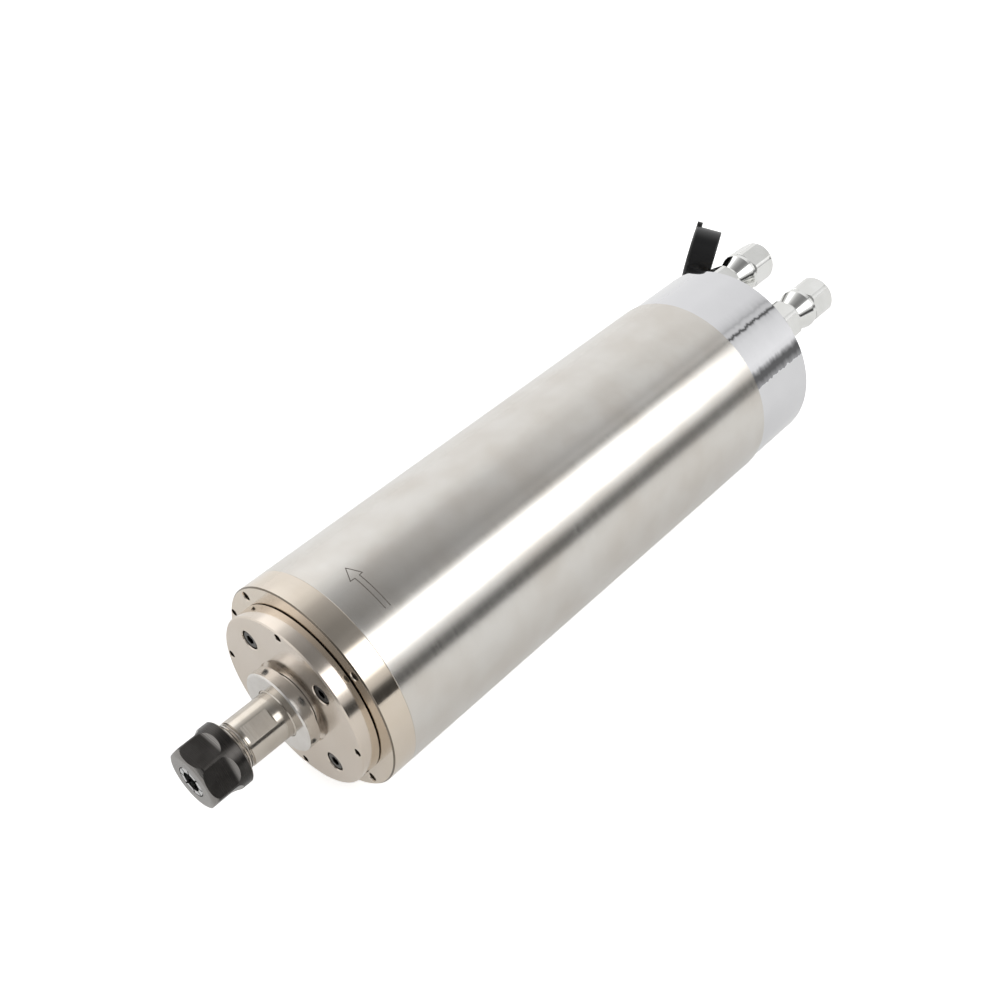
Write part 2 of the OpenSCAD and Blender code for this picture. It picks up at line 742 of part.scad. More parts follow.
// Body of a hose fitting: port thread, hexagon, waist, flare, nut thread and nipple
module fitting_body(side) {
    flare_r = corner_r - 0.3;
    core_r = body_thread_r - body_thread_depth - fit;
    hole_r = nipple_d / 2 - 0.7;
    color("#c6c6c2") at_fitting(side) difference() {
        union() {
            bar(x_cap1 - port_thread_l, x_cap1 + washer_t, port_thread_r);
            intersection() {
                hex_bar(x_cap1 + washer_t, x_waist0, fitting_af, fitting_hex_turns[side]);
                turned([
                    [0, x_cap1 + washer_t], [corner_r - bevel, x_cap1 + washer_t], [corner_r, x_cap1 + washer_t + bevel],
                    [corner_r, x_waist0 - bevel], [corner_r - bevel, x_waist0], [0, x_waist0]
                ]);
            }
            turned([
                [0, x_waist0], [waist_r, x_waist0], [waist_r, x_waist0 + 2.4], [flare_r, x_fitting_nut0 - 1.7],
                [flare_r, x_fitting_nut0 - 0.3], [core_r, x_fitting_nut0 - 0.3], [core_r, x_body_end],
                [nipple_d / 2, x_body_end], [nipple_d / 2, x_body_end + nipple_l - 1],
                [nipple_d / 2 - 0.4, x_body_end + nipple_l], [0, x_body_end + nipple_l]
            ]);
        }
        bar(x_cap1 - port_thread_l - 1, x_body_end + nipple_l + 1, hole_r);
    }
}

module supply_fitting() {
    fitting_body(0);
}

module return_fitting() {
    fitting_body(1);
}

module fitting_threads() {
    color("#c6c6c2") for (side = [0, 1]) at_fitting(side)
        tube(x_fitting_nut0 - 0.3, x_body_end, body_thread_r, body_thread_r - body_thread_depth);
}

module fitting_washers() {
    color("#8a6a3c") for (side = [0, 1]) at_fitting(side)
        tube(x_cap1, x_cap1 + washer_t, corner_r - 0.1, port_thread_r + fit);
}

// Split sleeve that the clamping nut closes on the hose
module hose_sleeve(side) {
    color("#d9d4c4") at_fitting(side) difference() {
        turned([
            [hose_d / 2 + 0.1, x_body_end + 0.2], [hose_d / 2 + 1.5, x_body_end + 0.2],
            [hose_d / 2 + 1.2, x_body_end + 1.6], [hose_d / 2 + 0.1, x_body_end + 1.6]
        ]);
        translate([x_body_end - 1, 0, -0.3]) cube([4, fitting_af, 0.6]);
    }
}

// Clamping nut: six flats on a turned body with a domed end
module clamping_nut(side) {
    dome = 3;
    end_r = hose_d / 2 + 1.4;
    cavity_r = body_thread_r + thread_gap;
    color("#cfcfcb") at_fitting(side) difference() {
        intersection() {
            hex_bar(x_fitting_nut0, x_fitting_nut1, fitting_af, fitting_hex_turns[side]);
            turned(concat(
                [[0, x_fitting_nut0], [corner_r - bevel, x_fitting_nut0], [corner_r, x_fitting_nut0 + bevel]],
                [for (a = [0 : 15 : 90]) [
                    end_r + (corner_r - end_r) * cos(a), x_fitting_nut1 - dome + dome * sin(a)]],
                [[0, x_fitting_nut1]]
            ));
        }
        turned([
            [0, x_fitting_nut0 - 1], [cavity_r, x_fitting_nut0 - 1], [cavity_r, x_body_end + 0.6],
            [hose_d / 2 + 1.8, x_body_end + 0.6], [hose_d / 2 + 1.5, x_body_end + 2],
            [hose_d / 2 + 0.1, x_body_end + 2], [hose_d / 2 + 0.1, x_fitting_nut1 + 1], [0, x_fitting_nut1 + 1]
        ]);
    }
}

module supply_sleeve() {
    hose_sleeve(0);
}

module supply_nut() {
    clamping_nut(0);
}

module return_sleeve() {
    hose_sleeve(1);
}

module return_nut() {
    clamping_nut(1);
}

// Spindle shaft: collet taper, nose thread, spanner flats, bearing seats and rotor seat
module shaft() {
    seat_r = front_bore / 2;
    nose_r = nose_d / 2;
    core_r = nose_r - nose_thread_depth - fit;
    taper_r = collet_r + thread_gap;
    taper_l = x_collet1 + 1 - collet_cone0;
    x_seat0 = x_collar0 + 0.2;
    tail_r = rear_bore / 2;
    x_tail = x_rear_bearing1 + lock_nut_w + shaft_tail;
    x_flats1 = x_cover - shaft_flats_gap;
    color("#b8b4ae") difference() {
        turned([
            [0, x_shaft0], [core_r, x_shaft0], [core_r, x_thread1], [nose_r, x_thread1], [nose_r, x_seat0 - bevel],
            [seat_r, x_seat0], [seat_r, x_bearing1], [shaft_collar_r, x_bearing1],
            [shaft_collar_r, x_core0 - cage_ring_l], [rotor_seat_r, x_core0 - cage_ring_l],
            [rotor_seat_r, x_core1 + cage_ring_l], [mid_r, x_core1 + cage_ring_l + 1.5],
            [mid_r, x_rear_bearing0], [tail_r, x_rear_bearing0], [tail_r, x_tail - 0.5], [tail_r - 0.5, x_tail],
            [0, x_tail]
        ]);
        turned([
            [0, collet_cone0 - 1], [taper_r + taper, collet_cone0 - 1], [taper_r - taper_l * taper, x_collet1 + 1],
            [collet_bore / 2 + 0.5, x_collet1 + 1.2], [collet_bore / 2 + 0.5, x_collet1 + 7], [0, x_collet1 + 9]
        ]);
        for (side = [0, 180]) rotate([shaft_flats_turn + side, 0, 0])
            translate([x_flats1 - shaft_flats_l, shaft_flats / 2, -nose_d / 2])
                cube([shaft_flats_l, nose_d / 2, nose_d]);
    }
}

module nose_thread() {
    color("#b8b4ae") tube(x_thread0, x_thread1, nose_d / 2, nose_d / 2 - nose_thread_depth);
}

module dust_collar() {
    color("#c7c6c4") turned([
        [front_bore / 2 + fit, x_collar0], [collar_d / 2 - bevel, x_collar0], [collar_d / 2, x_collar0 + bevel],
        [collar_d / 2, x_collar1], [hub_d / 2, x_collar1], [hub_d / 2, x_bearing0], [front_bore / 2 + fit, x_bearing0]
    ]);
}

module front_inner_rings() {
    color("#d8dadc") for (i = [0, 1])
        inner_ring(x_bearing0 + i * front_w, front_w - fit, front_bore, front_pitch_r);
}

module rear_inner_ring() {
    color("#d8dadc") inner_ring(x_rear_bearing0, rear_w, rear_bore, rear_pitch_r);
}

module rear_lock_nut() {
    nut_r = rear_bore / 2 + 4;
    color("#5d6063") difference() {
        tube(x_rear_bearing1, x_rear_bearing1 + lock_nut_w, nut_r, rear_bore / 2 + fit);
        around(4, nut_r - 1.4) translate([x_rear_bearing1 - 1, 0, -1.5]) cube([lock_nut_w + 2, 4, 3]);
    }
}

rotor_bar_r = 1;
rotor_bar_at = rotor_r - 1.8;

module rotor_core() {
    color("#707276") translate([x_core0, 0, 0]) rotate([0, 90, 0]) linear_extrude(core_l) difference() {
        circle(r = rotor_r);
        circle(r = rotor_seat_r + fit);
        for (i = [0 : rotor_bars - 1]) rotate(360 * i / rotor_bars) translate([rotor_bar_at, 0])
            circle(r = rotor_bar_r + fit, $fn = 24);
    }
}

module rotor_cage() {
    color("#c2c4c6") {
        for (x = [x_core0 - cage_ring_l, x_core1]) tube(x, x + cage_ring_l, rotor_r - 0.4, rotor_seat_r + fit);
        around(rotor_bars, rotor_bar_at, -90) rotate([0, 90, 0]) translate([0, 0, x_core0 - 1])
            cylinder(h = core_l + 2, r = rotor_bar_r, $fn = 24);
    }
}

module front_ball_cages() {
    color("#b08d4a") for (i = [0, 1])
        ball_cage(x_bearing0 + (i + 0.5) * front_w, front_ball_count, front_pitch_r);
}

module front_balls() {
    color("#e3e5e8") for (i = [0, 1])
        ball_set(x_bearing0 + (i + 0.5) * front_w, front_ball_count, front_pitch_r);
}

module rear_ball_cage() {
    color("#b08d4a") ball_cage(x_rear_bearing0 + rear_w / 2, rear_ball_count, rear_pitch_r);
}

module rear_balls() {
    color("#e3e5e8") ball_set(x_rear_bearing0 + rear_w / 2, rear_ball_count, rear_pitch_r);
}

// Slotted spring collet: slots cut in turn from its two ends
module collet() {
    step = 180 / collet_slots;
    uncut_front = 4.6;
    uncut_rear = 4.4;
    color("#cfd0d0") difference() {
        turned([
            [collet_bore / 2, x_nut0], [collet_face_r, x_nut0], [collet_land_r, x_nut0 + 2.08],
            [collet_land_r, collet_groove0], [collet_groove_r, collet_groove0], [collet_groove_r, collet_groove1],
            [collet_r, collet_groove1], [collet_r, collet_cone0],
            [collet_r - (x_collet1 - collet_cone0) * taper, x_collet1], [collet_bore / 2, x_collet1]
        ]);
        for (i = [0 : collet_slots - 1]) {
            rotate([2 * i * step, 0, 0]) translate([x_nut0 - 1, 0, -collet_slot_w / 2])
                cube([collet_l - uncut_rear + 1, collet_d, collet_slot_w]);
            rotate([(2 * i + 1) * step, 0, 0]) translate([x_nut0 + uncut_front, 0, -collet_slot_w / 2])
                cube([collet_l - uncut_front + 1, collet_d, collet_slot_w]);
        }
    }
}

// Collet nut: round skirt, six milled flats, front cone and the lip that pulls the collet
module collet_nut() {
    r = nut_d / 2;
    flat_turn = 32.6;
    mouth_r = nut_mouth_d / 2;
    seat = 0.12;
    x_mouth = x_nut0 + 0.3;
    lip_r = collet_groove_r + running;
    thread_r = nose_d / 2 + thread_gap;
    color("#4a4947") difference() {
        turned(concat(
            [for (a = [0 : 10 : 90]) [r - nut_round + nut_round * sin(a), x_nut0 + nut_round - nut_round * cos(a)]],
            [[r, x_nut1 - bevel], [r - bevel, x_nut1], [0, x_nut1], [0, x_nut0]]
        ));
        for (i = [0 : 5]) rotate([flat_turn + 60 * i, 0, 0]) translate([0, nut_af / 2, 0]) {
            translate([x_nut0 - 1, 0, -nut_d / 2]) cube([nut_flat_l + 1, nut_d, nut_d]);
            translate([x_nut0 + nut_flat_l, nut_cutter_r, -nut_d / 2]) cylinder(h = nut_d, r = nut_cutter_r);
        }
        turned([
            [0, x_nut0 - 1], [mouth_r, x_nut0 - 1], [mouth_r, x_mouth],
            [collet_land_r + seat, x_nut0 + 2.08], [collet_land_r + running, x_nut0 + 2.3],
            [collet_land_r + running, collet_groove0 + running], [lip_r, collet_groove0 + running],
            [lip_r, collet_groove1 - running], [thread_r + 0.25, collet_groove1 - running],
            [thread_r + 0.25, x_shaft0 + 0.8], [thread_r, x_shaft0 + 0.8], [thread_r, x_nut1 + 1], [0, x_nut1 + 1]
        ]);
    }
}

// Rubber cap as it sits on the socket, with its strap ending in the fold
module closed_dust_cap() {
    outer = dust_cap_d / 2;
    edge = 1;
    root = x_dust0 + 0.3;
    difference() {
        union() {
            turned(concat(
                [[0, x_dust0], [outer, x_dust0]],
                [for (a = [0 : 22.5 : 90]) [outer - edge + edge * cos(a), x_dust1 - edge + edge * sin(a)]],
                [[0, x_dust1]]
            ));
            rotate([fold_turn + 180, 0, 0]) translate([0, outer - 0.4, 0]) bar(x_dust1 - 1.8, x_dust1, strap_w / 2);
        }
        bar(x_dust0 - 1, x_dust1 - cap_end_t, cap_inner_r);
    }
    hull() {
        fold(fold_r, strap_w);
        rotate([fold_turn, 0, 0]) translate([root, outer - 0.8, -strap_w / 2]) cube([1.5, 1, strap_w]);
    }
}

// Fold of the strap, the line that the cap swings about
module fold(r, length) {
    translate(fold_at) rotate([0, acos(fold_axis.z), atan2(fold_axis.y, fold_axis.x)])
        cylinder(h = length, r = r, center = true, $fn = 24);
}

module dust_cap() {
    color("#1d1d1f") at_socket() translate(fold_at) rotate(a = open_angle, v = fold_axis) translate(-fold_at)
        closed_dust_cap();
}

front_cover();
front_cover_screws();
front_housing();
flange_screws();
shell();
cooling_sleeve();
sleeve_seals();
port_seals();
stator_core();
stator_windings();
rear_housing();
rear_bearing_cover();
preload_spring();
front_outer_rings();
rear_outer_ring();
rear_cap();
rear_cap_screws();
socket_shell();
socket_thread();
socket_nut();
socket_insert();
socket_pins();
lead_wires();
dust_cap_ring();
supply_fitting();
return_fitting();
fitting_threads();
fitting_washers();
shaft();
nose_thread();
dust_collar();
front_inner_rings();
rear_inner_ring();
rear_lock_nut();
rotor_core();
rotor_cage();
front_ball_cages();
front_balls();
rear_ball_cage();
rear_balls();
collet();
collet_nut();
dust_cap();
supply_sleeve();
supply_nut();
return_sleeve();
return_nut();
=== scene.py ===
# %% [markdown]
# # Water-cooled motor spindle
# A steel-bodied electric motor lies on a pale table. Its nose holds a collet under a black nut.
# Two hose fittings and a power socket stand on its rear end, and a rubber cap hangs beside the
# socket on its strap. The solids come from the CAD frame; these cells add the finishes, the
# threads, the screws with their real sockets, the light and the camera.

# %% Load the frame
import json
import math

import bmesh
import bpy
from mathutils import Matrix, Vector


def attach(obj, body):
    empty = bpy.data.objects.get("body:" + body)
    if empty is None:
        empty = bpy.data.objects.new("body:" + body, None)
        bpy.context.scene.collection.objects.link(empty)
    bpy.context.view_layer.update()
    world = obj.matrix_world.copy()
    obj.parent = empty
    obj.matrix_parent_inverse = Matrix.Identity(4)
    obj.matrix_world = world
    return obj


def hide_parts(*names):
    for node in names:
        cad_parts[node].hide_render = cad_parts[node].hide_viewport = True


MM = 0.001
SHELL_RADIUS = 32.5
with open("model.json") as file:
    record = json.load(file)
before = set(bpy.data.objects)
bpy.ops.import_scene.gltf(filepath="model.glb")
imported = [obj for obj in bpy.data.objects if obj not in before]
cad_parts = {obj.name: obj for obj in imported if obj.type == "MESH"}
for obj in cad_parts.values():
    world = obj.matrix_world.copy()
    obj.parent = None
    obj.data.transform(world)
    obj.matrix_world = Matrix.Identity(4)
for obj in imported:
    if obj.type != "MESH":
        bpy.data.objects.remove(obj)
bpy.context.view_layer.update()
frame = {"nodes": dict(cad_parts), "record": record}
solids = frame["nodes"]

# %% [markdown]
# ## Camera
# The photograph was taken from above the nose with a lens of about 47 mm. The camera's axes were
# solved from the round edges of the body, so they are written here as three unit vectors: a
# matrix built from them turns the camera without any guessing of angles.

# %% Camera
LENS_MM, SENSOR_MM = 46.76, 36
CAMERA_PLACE = (-0.21045, -0.19590, 0.27238)
CAMERA_RIGHT = Vector((0.67341, -0.73822, -0.03944))
CAMERA_UP = Vector((0.52094, 0.43600, 0.73384))
CAMERA_FORWARD = Vector((0.52454, 0.51472, -0.67818))


def place_camera():
    data = bpy.data.cameras.new("photo_camera")
    data.lens = LENS_MM
    data.sensor_width = SENSOR_MM
    data.clip_start = 0.01
    camera = bpy.data.objects.new("photo_camera", data)
    turn = Matrix((CAMERA_RIGHT, CAMERA_UP, -CAMERA_FORWARD)).transposed().to_4x4()
    camera.matrix_world = Matrix.Translation(CAMERA_PLACE) @ turn
    bpy.context.scene.collection.objects.link(camera)
    bpy.context.scene.camera = camera
    return camera


print("camera at", [round(c, 3) for c in place_camera().location])

# %% [markdown]
# ## Small helpers
# Node trees are easier to read when each node is one line. One function adds a node, sets its
# settings and fills its inputs: a value is stored on the socket, and a socket is linked to it.
# Six more give the nodes that come up most: arithmetic, a span of values stretched onto
# another, a mix of two colours, noise, the place on the object, and a vector split into its three
# parts. Colours are written as the hex values that a colour picker shows, and one function turns
# them into the linear light that the shaders work in.

# %% Node and colour helpers
def add(tree, kind, settings=None, inputs=None):
    node = tree.nodes.new(kind)
    for name, value in (settings or {}).items():
        setattr(node, name, value)
    for name, value in (inputs or {}).items():
        if isinstance(value, bpy.types.NodeSocket):
            tree.links.new(value, node.inputs[name])
        else:
            node.inputs[name].default_value = value
    return node


def math_node(tree, operation, *values):
    return add(tree, "ShaderNodeMath", {"operation": operation}, dict(enumerate(values))).outputs[0]


def stretch(tree, value, start, end, to_start=0.0, to_end=1.0):
    """Maps start..end onto to_start..to_end, and holds the end values outside that span."""
    inputs = {0: value, 1: start, 2: end, 3: to_start, 4: to_end}
    return add(tree, "ShaderNodeMapRange", None, inputs).outputs[0]


def mix(tree, share, first, second, kind="MIX"):
    return add(tree, "ShaderNodeMix", {"data_type": "RGBA", "blend_type": kind},
               {0: share, 6: first, 7: second}).outputs[2]


def noise(tree, where, scale, detail=2.0, roughness=0.5):
    return add(tree, "ShaderNodeTexNoise", None,
               {"Vector": where, "Scale": scale, "Detail": detail, "Roughness": roughness}).outputs[0]


def place_on_object(tree):
    return add(tree, "ShaderNodeTexCoord").outputs["Object"]


def split(tree, vector):
    return add(tree, "ShaderNodeSeparateXYZ", None, {0: vector}).outputs


def linear(hex_colour):
    channels = [int(hex_colour[i:i + 2], 16) / 255 for i in (1, 3, 5)]
    light = [c / 12.92 if c <= 0.04045 else ((c + 0.055) / 1.055) ** 2.4 for c in channels]
    return (*light, 1.0)


# %% [markdown]
# ## Studio light
# Polished metal shows the room more than it shows itself. Reading the photograph across the body
# gives the room: a white sweep behind, a darker ceiling, one long bright softbox above the near
# side and a dark gap between the softbox and the table. All of these run along the spindle, so
# the world is written as brightness by the angle around the spindle's axis: 0 degrees is level
# and behind the body, 90 is straight up and 180 is level and in front of it.
#
# The room isn't the same all along the axis. Rays that leave the metal square to the axis see
# the first list, rays that slant along it see the second, and those that slant forward, past the
# nose, see the third. The softbox starts and stops along the axis too, and a soft lamp behind
# the body shows only in what faces it squarely. A camera ray sees plain white.

# %% World
ROOM_NEAR_NOSE = [
    (-180, 0.80), (-60, 0.90), (-20, 1.05), (30, 1.05), (46, 1.00), (58, 0.80), (66, 0.54),
    (74, 0.41), (84, 0.33), (94, 0.25), (106, 0.25), (116, 0.33), (124, 0.60), (150, 1.00),
    (158, 0.85), (163, 0.60), (167, 0.14), (171, 0.06), (180, 0.06)]
ROOM_NEAR_REAR = [
    (-180, 0.40), (-170, 0.85), (-60, 0.90), (-20, 1.00), (46, 0.98), (58, 0.95), (86, 0.90),
    (93, 0.82), (99, 0.70), (103, 0.54), (106, 0.72), (110.5, 0.74), (112, 0.15), (114.3, 0.15),
    (116, 0.72), (119, 0.80), (125, 0.90), (154, 1.10), (160, 1.00), (164, 0.45), (168, 0.16),
    (174, 0.16), (180, 0.40)]
ROOM_BEFORE_NOSE = [
    (-180, 0.50), (-60, 0.95), (20, 1.10), (52, 0.98), (70, 0.70), (90, 0.42), (108, 0.33),
    (160, 0.33), (172, 0.36), (180, 0.45)]
SOFTBOX = [(-180, 0.0), (119, 0.0), (125, 1.0), (147, 1.0), (155, 0.0), (180, 0.0)]
BACK_LAMP = [(-180, 0.0), (10, 0.0), (20, 0.7), (44, 0.7), (54, 0.0), (180, 0.0)]
SOFTBOX_BRIGHTNESS = 2.0
# The x of a ray's direction (its size, or with its sign) at which one thing gives way to another
NOSE_TO_REAR_ROOM = (0.38, 0.68)
TO_ROOM_BEFORE_NOSE = (-0.05, -0.20)
SOFTBOX_REAR_END = (0.688, 0.672)
SOFTBOX_NOSE_END = (-0.15, 0.05)
BACK_LAMP_END = (0.37, 0.33)
WHITE = (1, 1, 1, 1)


def brightness_round(tree, turn, stops):
    """stops: (degrees round the axis, brightness); turn: the angle as a share of a full turn"""
    ramp = add(tree, "ShaderNodeValToRGB", None, {0: turn})
    elements = ramp.color_ramp.elements
    while len(elements) > 1:
        elements.remove(elements[-1])
    elements[0].position = (stops[0][0] + 180) / 360
    elements[0].color = (*[stops[0][1]] * 3, 1)
    for degrees, level in stops[1:]:
        elements.new((degrees + 180) / 360).color = (*[level] * 3, 1)
    return ramp.outputs[0]


def light_the_room():
    world = bpy.data.worlds.new("studio_room")
    bpy.context.scene.world = world
    world.use_nodes = True
    tree = world.node_tree
    tree.nodes.clear()
    x, y, z = split(tree, add(tree, "ShaderNodeTexCoord").outputs["Generated"])
    turn = stretch(tree, math_node(tree, "ARCTAN2", z, y), -math.pi, math.pi)
    along = math_node(tree, "ABSOLUTE", x)
    near_nose = brightness_round(tree, turn, ROOM_NEAR_NOSE)
    near_rear = brightness_round(tree, turn, ROOM_NEAR_REAR)
    room = mix(tree, stretch(tree, along, *NOSE_TO_REAR_ROOM), near_nose, near_rear)
    room = mix(tree, stretch(tree, x, *TO_ROOM_BEFORE_NOSE),
               room, brightness_round(tree, turn, ROOM_BEFORE_NOSE))
    towards_box_end = stretch(tree, along, *SOFTBOX_REAR_END, 0.0, SOFTBOX_BRIGHTNESS)
    box_level = math_node(tree, "MULTIPLY", towards_box_end, stretch(tree, x, *SOFTBOX_NOSE_END))
    box = math_node(tree, "MULTIPLY", brightness_round(tree, turn, SOFTBOX), box_level)
    lamps = math_node(tree, "MULTIPLY_ADD", brightness_round(tree, turn, BACK_LAMP),
                      stretch(tree, along, *BACK_LAMP_END), box)
    lit = mix(tree, 1.0, room, lamps, "ADD")
    seen = mix(tree, add(tree, "ShaderNodeLightPath").outputs["Is Camera Ray"], lit, WHITE)
    light = add(tree, "ShaderNodeBackground", None, {0: seen, 1: 1.0})
    add(tree, "ShaderNodeOutputWorld", None, {0: light.outputs[0]})
    return world


bpy.context.scene.view_settings.view_transform = "Standard"
print("world:", light_the_room().name)

# %% [markdown]
# ## Table
# The body rests on a pale table. Its paper is a soft diffuse white. A little light of its own, for
# the rays that come straight from the eye, keeps it as white as the photograph's ground, while
# the contact shadow stays. In the metal it looks a little greyer than that, and the part of the
# table behind the body is lit more strongly, as the photograph's reflections show.

# %% Table
TABLE_X, TABLE_Y = (-2, 3), (-1.4, 3.5)
PAPER_GRAIN_SCALE, PAPER_GRAIN_DEPTH = 900.0, 0.0001
GLOW_TO_EYE = 0.62
GLOW_IN_METAL = (0.15, 0.23)  # under the body, and from GLOW_Y[1] metres behind it
GLOW_Y = (0.0, 0.25)


def lay_table():
    paper = bpy.data.materials.new("white_sweep_paper")
    paper.use_nodes = True
    tree = paper.node_tree
    tree.nodes.clear()
    here = place_on_object(tree)
    grain = noise(tree, here, PAPER_GRAIN_SCALE)
    bump = add(tree, "ShaderNodeBump", None,
               {"Strength": 0.05, "Distance": PAPER_GRAIN_DEPTH, "Height": grain})
    # Soft white paper: all but white, with no gloss
    matte = add(tree, "ShaderNodeBsdfDiffuse", None,
                {"Color": linear("#F4F4F3"), "Normal": bump.outputs[0]})
    ray = add(tree, "ShaderNodeLightPath").outputs
    in_metal = stretch(tree, split(tree, here)[1], *GLOW_Y, *GLOW_IN_METAL)
    in_gloss = math_node(tree, "MULTIPLY", ray["Is Glossy Ray"], in_metal)
    to_eye = math_node(tree, "MAXIMUM", ray["Is Camera Ray"], ray["Is Transmission Ray"])
    strength = math_node(tree, "MULTIPLY_ADD", to_eye, GLOW_TO_EYE, in_gloss)
    glow = add(tree, "ShaderNodeEmission", None, {"Color": WHITE, "Strength": strength})
    both = add(tree, "ShaderNodeAddShader", None, {0: matte.outputs[0], 1: glow.outputs[0]})
    add(tree, "ShaderNodeOutputMaterial", None, {0: both.outputs[0]})
    mesh = bpy.data.meshes.new("table")
    low = -SHELL_RADIUS * MM
    corners = [(TABLE_X[0], TABLE_Y[0]), (TABLE_X[1], TABLE_Y[0]),
               (TABLE_X[1], TABLE_Y[1]), (TABLE_X[0], TABLE_Y[1])]
    mesh.from_pydata([(x, y, low) for x, y in corners], [], [(0, 1, 2, 3)])
    mesh.materials.append(paper)
    table = bpy.data.objects.new("table", mesh)
    bpy.context.scene.collection.objects.link(table)
    return table


print("table:", lay_table().name)

# %% [markdown]
# ## Metal finishes
# Every metal here is one Principled shader with metallic at 1, so its colour is the colour of its
# reflections. What tells ground steel from polished nickel is the roughness and the marks that the
# process left. All the turned and ground parts share an axis, so their marks are rings about X:
# a noise stretched round the part and squeezed along it. A second, slow noise gives the faint
# warm and cool clouds that the photograph shows on the body.

# %% Metal recipe
# Most of a noise lies between the two values of its span
CLOUD_SPAN, RING_SPAN, WAVE_SPAN = (0.35, 0.65), (0.3, 0.7), (0.25, 0.75)
# How square to the axis a surface is (1 is a flat face) where its painted reflection and its gloss
# change
FACE_PAINTED_REFLECTION_SPAN, FACE_GLOSS_SPAN = (0.25, 0.5), (0.5, 0.9)
RING_SCALE_ROUND = 25.0  # the rings' noise per metre across the axis: long, even marks


def swaying_normal(tree, here, along_mm, round_mm, degrees):
    """Leans the normal to and fro round the X axis, so that long reflections get ragged edges."""
    scales = (1 / (along_mm * MM), 1 / (round_mm * MM), 1 / (round_mm * MM))
    stretched = add(tree, "ShaderNodeMapping", None, {0: here, 3: scales}).outputs[0]
    waves = noise(tree, stretched, 1.0, 3.0)
    lean = stretch(tree, waves, *WAVE_SPAN, -math.radians(degrees), math.radians(degrees))
    normal = add(tree, "ShaderNodeNewGeometry").outputs["Normal"]

    def vector_node(operation, inputs):
        return add(tree, "ShaderNodeVectorMath", {"operation": operation}, inputs).outputs[0]

    tangent = vector_node("CROSS_PRODUCT", {0: (1, 0, 0), 1: normal})
    shift = vector_node("SCALE", {0: tangent, "Scale": lean})
    return vector_node("NORMALIZE", {0: vector_node("ADD", {0: normal, 1: shift})})


def metal(name, light_hex, deep_hex, rough, marks, cloud_mm, edge_mm=0.0, face_rough=None,
          face_painted_reflection_hex=None, sway=None):
    """marks: (spacing in mm along the axis, depth in mm, share of the roughness that they change);
    cloud_mm: size of the clouds between the light and the deep colour;
    edge_mm: radius to which the shading rounds sharp edges;
    face_rough: roughness of the faces that were turned square to the axis; face_painted_reflection_hex:
    a lighter colour on those faces, a painted reflection of the table;
    sway: (mm along the axis, mm round it, degrees) of the slow waves that polishing leaves"""
    material = bpy.data.materials.new(name)
    material.use_nodes = True
    tree = material.node_tree
    shader = tree.nodes["Principled BSDF"]
    shader.inputs["Metallic"].default_value = 1.0
    here = place_on_object(tree)
    cloud = noise(tree, here, 1 / (cloud_mm * MM), 3.0)
    base = mix(tree, stretch(tree, cloud, *CLOUD_SPAN), linear(light_hex), linear(deep_hex))
    if face_rough or face_painted_reflection_hex:
        normal = add(tree, "ShaderNodeNewGeometry").outputs["Normal"]
        square = math_node(tree, "ABSOLUTE", split(tree, normal)[0])
    # Faces square to the axis take a lighter colour: a painted reflection of the table
    if face_painted_reflection_hex:
        base = mix(tree, stretch(tree, square, *FACE_PAINTED_REFLECTION_SPAN), base, linear(face_painted_reflection_hex))
    tree.links.new(base, shader.inputs["Base Color"])
    spacing, depth, swing = marks
    squeezed = add(tree, "ShaderNodeMapping", None,
                   {0: here, 3: (1 / (spacing * MM), RING_SCALE_ROUND, RING_SCALE_ROUND)}).outputs[0]
    rings = noise(tree, squeezed, 1.0, 4.0, 0.6)
    roughness = stretch(tree, rings, *RING_SPAN, rough * (1 - swing), rough * (1 + swing))
    if face_rough:
        faced = stretch(tree, square, *FACE_GLOSS_SPAN, 1.0, face_rough / rough)
        roughness = math_node(tree, "MULTIPLY", roughness, faced)
    tree.links.new(roughness, shader.inputs["Roughness"])
    relief = {"Strength": 1.0, "Distance": depth * MM, "Height": rings}
    if edge_mm:
        rounded = add(tree, "ShaderNodeBevel", {"samples": 6}, {"Radius": edge_mm * MM})
        relief["Normal"] = rounded.outputs[0]
    if sway:
        relief["Normal"] = swaying_normal(tree, here, *sway)
    bump = add(tree, "ShaderNodeBump", None, relief)
    tree.links.new(bump.outputs[0], shader.inputs["Normal"])
    return material


def paint_shade_and_grime_strip(material, start_x, end_x, outside_r, hex_colour):
    """Colours the strip between two stations along the axis and outside a radius, all in mm, with the
    given colour: painted shade, with grime where the strip sits in a joint.
    """
    tree = material.node_tree
    socket = tree.nodes["Principled BSDF"].inputs["Base Color"]
    x, y, z = split(tree, place_on_object(tree))
    past_start = math_node(tree, "GREATER_THAN", x, start_x * MM)
    short_of_end = math_node(tree, "LESS_THAN", x, end_x * MM)
    radius_squared = math_node(tree, "MULTIPLY_ADD", z, z, math_node(tree, "MULTIPLY", y, y))
    outside = math_node(tree, "GREATER_THAN", radius_squared, (outside_r * MM) ** 2)
    between = math_node(tree, "MULTIPLY", past_start, short_of_end)
    strip = math_node(tree, "MULTIPLY", between, outside)
    tree.links.new(mix(tree, strip, socket.links[0].from_socket, linear(hex_colour)), socket)


# %% [markdown]
# The shell is stainless tube, ground between centres: satin, slightly warm, with a broad soft
# highlight. The flange ring and the cover are nickel-plated, which gives a warm champagne tint.
# The ring is ground round its rim, so its reflections have clear edges; the turned cover and the
# faces that are square to the axis are satin. The rear cap is bright chrome, cooler and sharper.
# The hose fittings are chrome on brass. The nose is ground tool steel, the collar before the
# cover is a lighter turned steel, and the nut has the near-black oxide of a hot salt bath.
#
# Where the cover meets the flange, the photograph has a thin dark line round the body. The last strip
# of the cover there takes a darker colour: painted shade, with some grime of the joint. The outer edge
# of the flange's face takes a milder dark line of painted shade and reflection.

# %% Metals of the spindle
# Satin and slightly warm: carries the broad soft highlight
shell_steel = metal("ground_stainless_steel", "#DAD7D2", "#D2CDC6", 0.19,
                    marks=(0.5, 0.0012, 0.12), cloud_mm=16.0)
